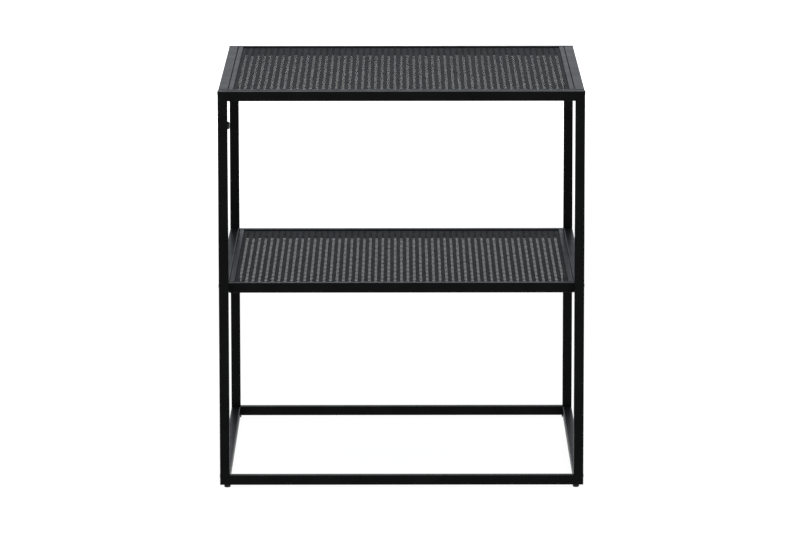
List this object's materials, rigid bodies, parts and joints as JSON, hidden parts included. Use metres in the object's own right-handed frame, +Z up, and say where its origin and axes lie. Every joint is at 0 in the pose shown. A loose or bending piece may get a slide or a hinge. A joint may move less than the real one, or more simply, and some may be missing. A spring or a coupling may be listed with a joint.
{
  "type": "folding side table",
  "caption": "Two-shelf side table in black square steel tube with perforated steel shelves, whose upright frames fold together on parallel pivots.",
  "frame": {"origin": "on the floor, in the middle of the table, with the table open and locked", "axes": "+X to the right, +Y from the front frame to the rear frame, +Z up"},
  "size_m": [0.4516, 0.45, 0.495],
  "materials": {
    "frame_coat": "fine matt black powder coat on steel",
    "sheet_coat": "fine matt black powder coat on perforated steel",
    "pin_steel": "satin black finish on turned steel",
    "foot_nylon": "matt black moulded nylon"
  },
  "bodies": {
    "front_frame": {"front_top_rail": "frame_coat", "front_base_rail": "frame_coat", "front_left_leg": "frame_coat", "front_left_foot": "foot_nylon", "front_left_top_lug": "frame_coat", "front_left_shelf_lug": "frame_coat", "front_left_base_lug": "frame_coat", "front_right_leg": "frame_coat", "front_right_foot": "foot_nylon", "front_right_top_lug": "frame_coat", "front_right_shelf_lug": "frame_coat", "front_right_base_lug": "frame_coat"},
    "rear_frame": {"rear_top_rail": "frame_coat", "rear_base_rail": "frame_coat", "rear_left_leg": "frame_coat", "rear_left_foot": "foot_nylon", "rear_left_top_lug": "frame_coat", "rear_left_shelf_lug": "frame_coat", "rear_left_base_lug": "frame_coat", "rear_right_leg": "frame_coat", "rear_right_foot": "foot_nylon", "rear_right_top_lug": "frame_coat", "rear_right_shelf_lug": "frame_coat", "rear_right_base_lug": "frame_coat"},
    "top_tray": {"top_left_rail": "frame_coat", "top_front_left_pin": "pin_steel", "top_rear_left_pin": "pin_steel", "top_right_rail": "frame_coat", "top_front_right_pin": "pin_steel", "top_rear_right_pin": "pin_steel", "top_front_strip": "frame_coat", "top_left_strip": "frame_coat", "top_right_strip": "frame_coat", "top_front_bearer": "frame_coat", "top_rear_bearer": "frame_coat", "top_sheet": "sheet_coat", "lock_plate": "frame_coat"},
    "shelf_tray": {"shelf_left_rail": "frame_coat", "shelf_front_left_pin": "pin_steel", "shelf_rear_left_pin": "pin_steel", "shelf_right_rail": "frame_coat", "shelf_front_right_pin": "pin_steel", "shelf_rear_right_pin": "pin_steel", "shelf_front_rail": "frame_coat", "shelf_rear_rail": "frame_coat", "shelf_left_strip": "frame_coat", "shelf_right_strip": "frame_coat", "shelf_front_bearer": "frame_coat", "shelf_rear_bearer": "frame_coat", "shelf_sheet": "sheet_coat"},
    "left_base_link": {"base_left_rail": "frame_coat", "base_front_left_pin": "pin_steel", "base_rear_left_pin": "pin_steel"},
    "right_base_link": {"base_right_rail": "frame_coat", "base_front_right_pin": "pin_steel", "base_rear_right_pin": "pin_steel"},
    "lock_pull": {"lock_knob": "pin_steel"}
  },
  "joints": [
    {"name": "fold", "type": "hinge", "parent": "front_frame", "child": "top_tray", "pos_m": [0, -0.209, 0.4914], "axis": [1, 0, 0], "range_deg": [0, 77]},
    {"name": "rear_frame_fold", "type": "hinge", "parent": "top_tray", "child": "rear_frame", "pos_m": [0, 0.209, 0.4866], "axis": [1, 0, 0], "range_deg": [-77, 0]},
    {"name": "shelf_fold", "type": "hinge", "parent": "front_frame", "child": "shelf_tray", "pos_m": [0, -0.209, 0.2514], "axis": [1, 0, 0], "range_deg": [0, 77]},
    {"name": "left_base_fold", "type": "hinge", "parent": "front_frame", "child": "left_base_link", "pos_m": [-0.219, -0.209, 0.0119], "axis": [1, 0, 0], "range_deg": [0, 77]},
    {"name": "right_base_fold", "type": "hinge", "parent": "front_frame", "child": "right_base_link", "pos_m": [0.219, -0.209, 0.0119], "axis": [1, 0, 0], "range_deg": [0, 77]},
    {"name": "lock_pull", "type": "slide", "parent": "front_frame", "child": "lock_pull", "axis": [1, 0, 0], "range_m": [0, 0.003], "stiffness_N_per_m": 300}
  ],
  "couplings": [
    {"joint": "rear_frame_fold", "follows": "fold", "ratio": -1},
    {"joint": "shelf_fold", "follows": "fold", "ratio": 1},
    {"joint": "left_base_fold", "follows": "fold", "ratio": 1},
    {"joint": "right_base_fold", "follows": "fold", "ratio": 1}
  ]
}
